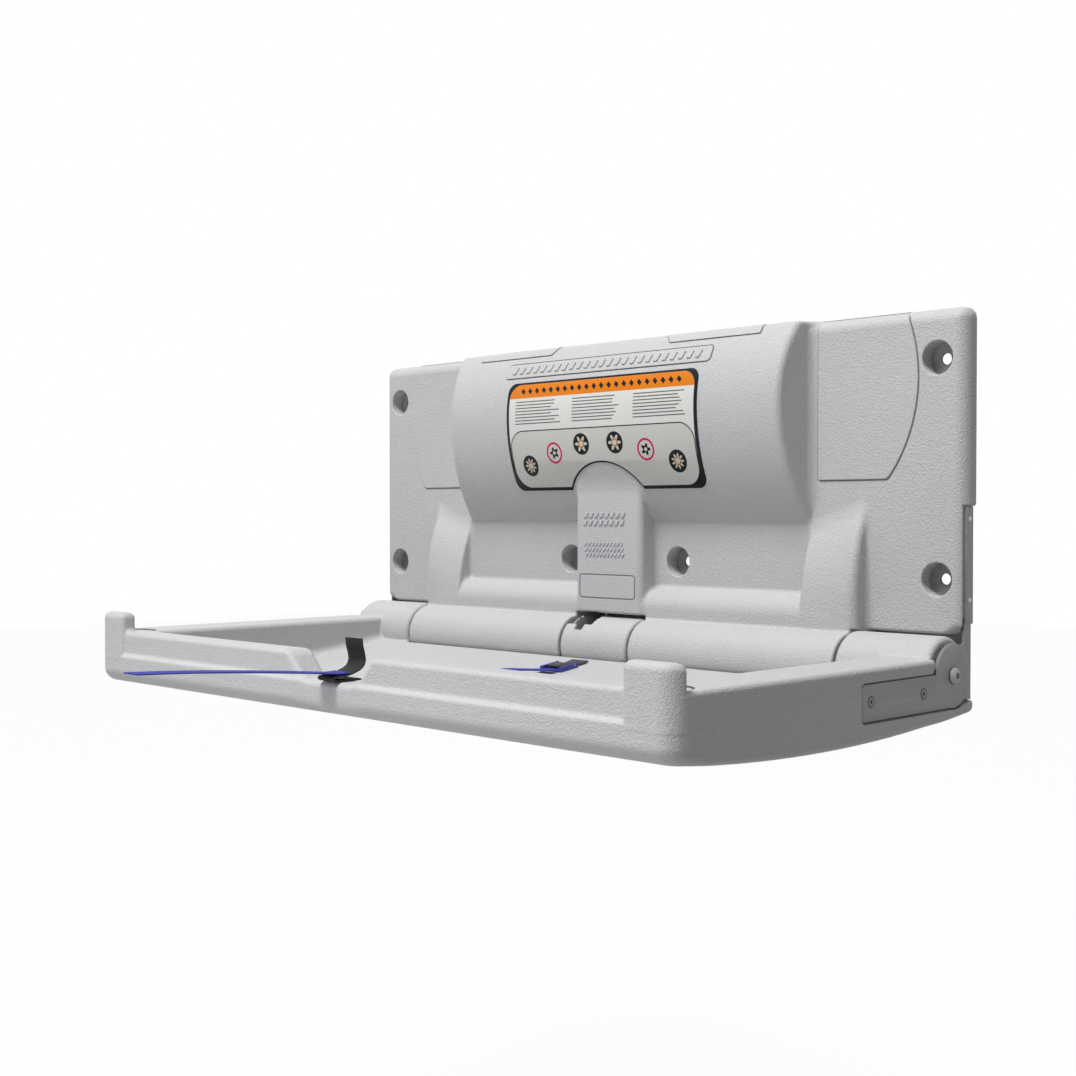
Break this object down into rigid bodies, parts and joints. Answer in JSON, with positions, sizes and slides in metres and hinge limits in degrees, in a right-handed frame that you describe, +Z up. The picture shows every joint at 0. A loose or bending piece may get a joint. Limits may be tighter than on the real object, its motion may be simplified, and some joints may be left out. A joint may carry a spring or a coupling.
{
  "type": "baby changing station",
  "caption": "Wall-mounted horizontal baby changing station: a shallow moulded bed with a safety strap that folds up on a steel hinge against a moulded wall unit.",
  "frame": {"origin": "on the wall plane, midway between the two lower outer fixing holes", "axes": "+X to the right along the width, +Y into the wall, +Z up"},
  "size_m": [0.8838, 0.652, 0.4004],
  "materials": {
    "grey_plastic": "finely pebbled moulded polyethylene",
    "galvanised_steel": "galvanised sheet",
    "zinc_steel": "bright zinc plating",
    "strut_black": "black enamel",
    "brass": "machined",
    "nylon": "natural nylon",
    "label_film": "printed film under a clear coat",
    "blue_webbing": "woven nylon",
    "black_webbing": "woven nylon",
    "blue_plastic": "moulded acetal",
    "black_plastic": "moulded acetal"
  },
  "bodies": {
    "wall_unit": {"wall_shell": "grey_plastic", "back_plate": "galvanised_steel", "plate_screws": "zinc_steel", "bracket_left": "galvanised_steel", "bracket_right": "galvanised_steel", "bracket_screws": "zinc_steel", "hinge_rod": "zinc_steel", "pivot_screws": "zinc_steel", "pivot_washers": "zinc_steel", "label_plate": "label_film", "strut_bracket": "galvanised_steel", "strut_top_pin": "zinc_steel", "strut_cylinder": "strut_black", "strut_gland": "zinc_steel"},
    "strut": {"strut_rod": "zinc_steel", "strut_eye": "galvanised_steel", "strut_pin": "zinc_steel"},
    "tray": {"tray_shell": "grey_plastic", "hinge_plate_left": "galvanised_steel", "hinge_plate_right": "galvanised_steel", "arm_screws": "zinc_steel", "arm_inserts": "brass", "hinge_bushes": "nylon", "crank_plate": "galvanised_steel", "crank_screws": "zinc_steel", "keeper_webbing": "black_webbing", "webbing_anchor": "zinc_steel", "bed_strap": "blue_webbing", "strap_tail": "blue_webbing", "buckle_body": "blue_plastic", "buckle_pin": "zinc_steel", "buckle_tab": "black_webbing"},
    "lever": {"buckle_lever": "black_plastic"}
  },
  "joints": [
    {"name": "tray_fold", "type": "hinge", "parent": "wall_unit", "child": "tray", "pos_m": [0, -0.04, -0.089], "axis": [-1, 0, 0], "range_deg": [0, 90]},
    {"name": "strut_travel", "type": "slide", "parent": "wall_unit", "child": "strut", "axis": [0, 0, -1], "range_m": [0, 0.04525]},
    {"name": "lever_lift", "type": "hinge", "parent": "tray", "child": "lever", "pos_m": [0, -0.11762, -0.10348], "axis": [-1, 0, 0], "range_deg": [0, 16]}
  ],
  "couplings": [
    {"joint": "strut_travel", "follows": "tray_fold", "m_per_rad": 0.02881}
  ]
}
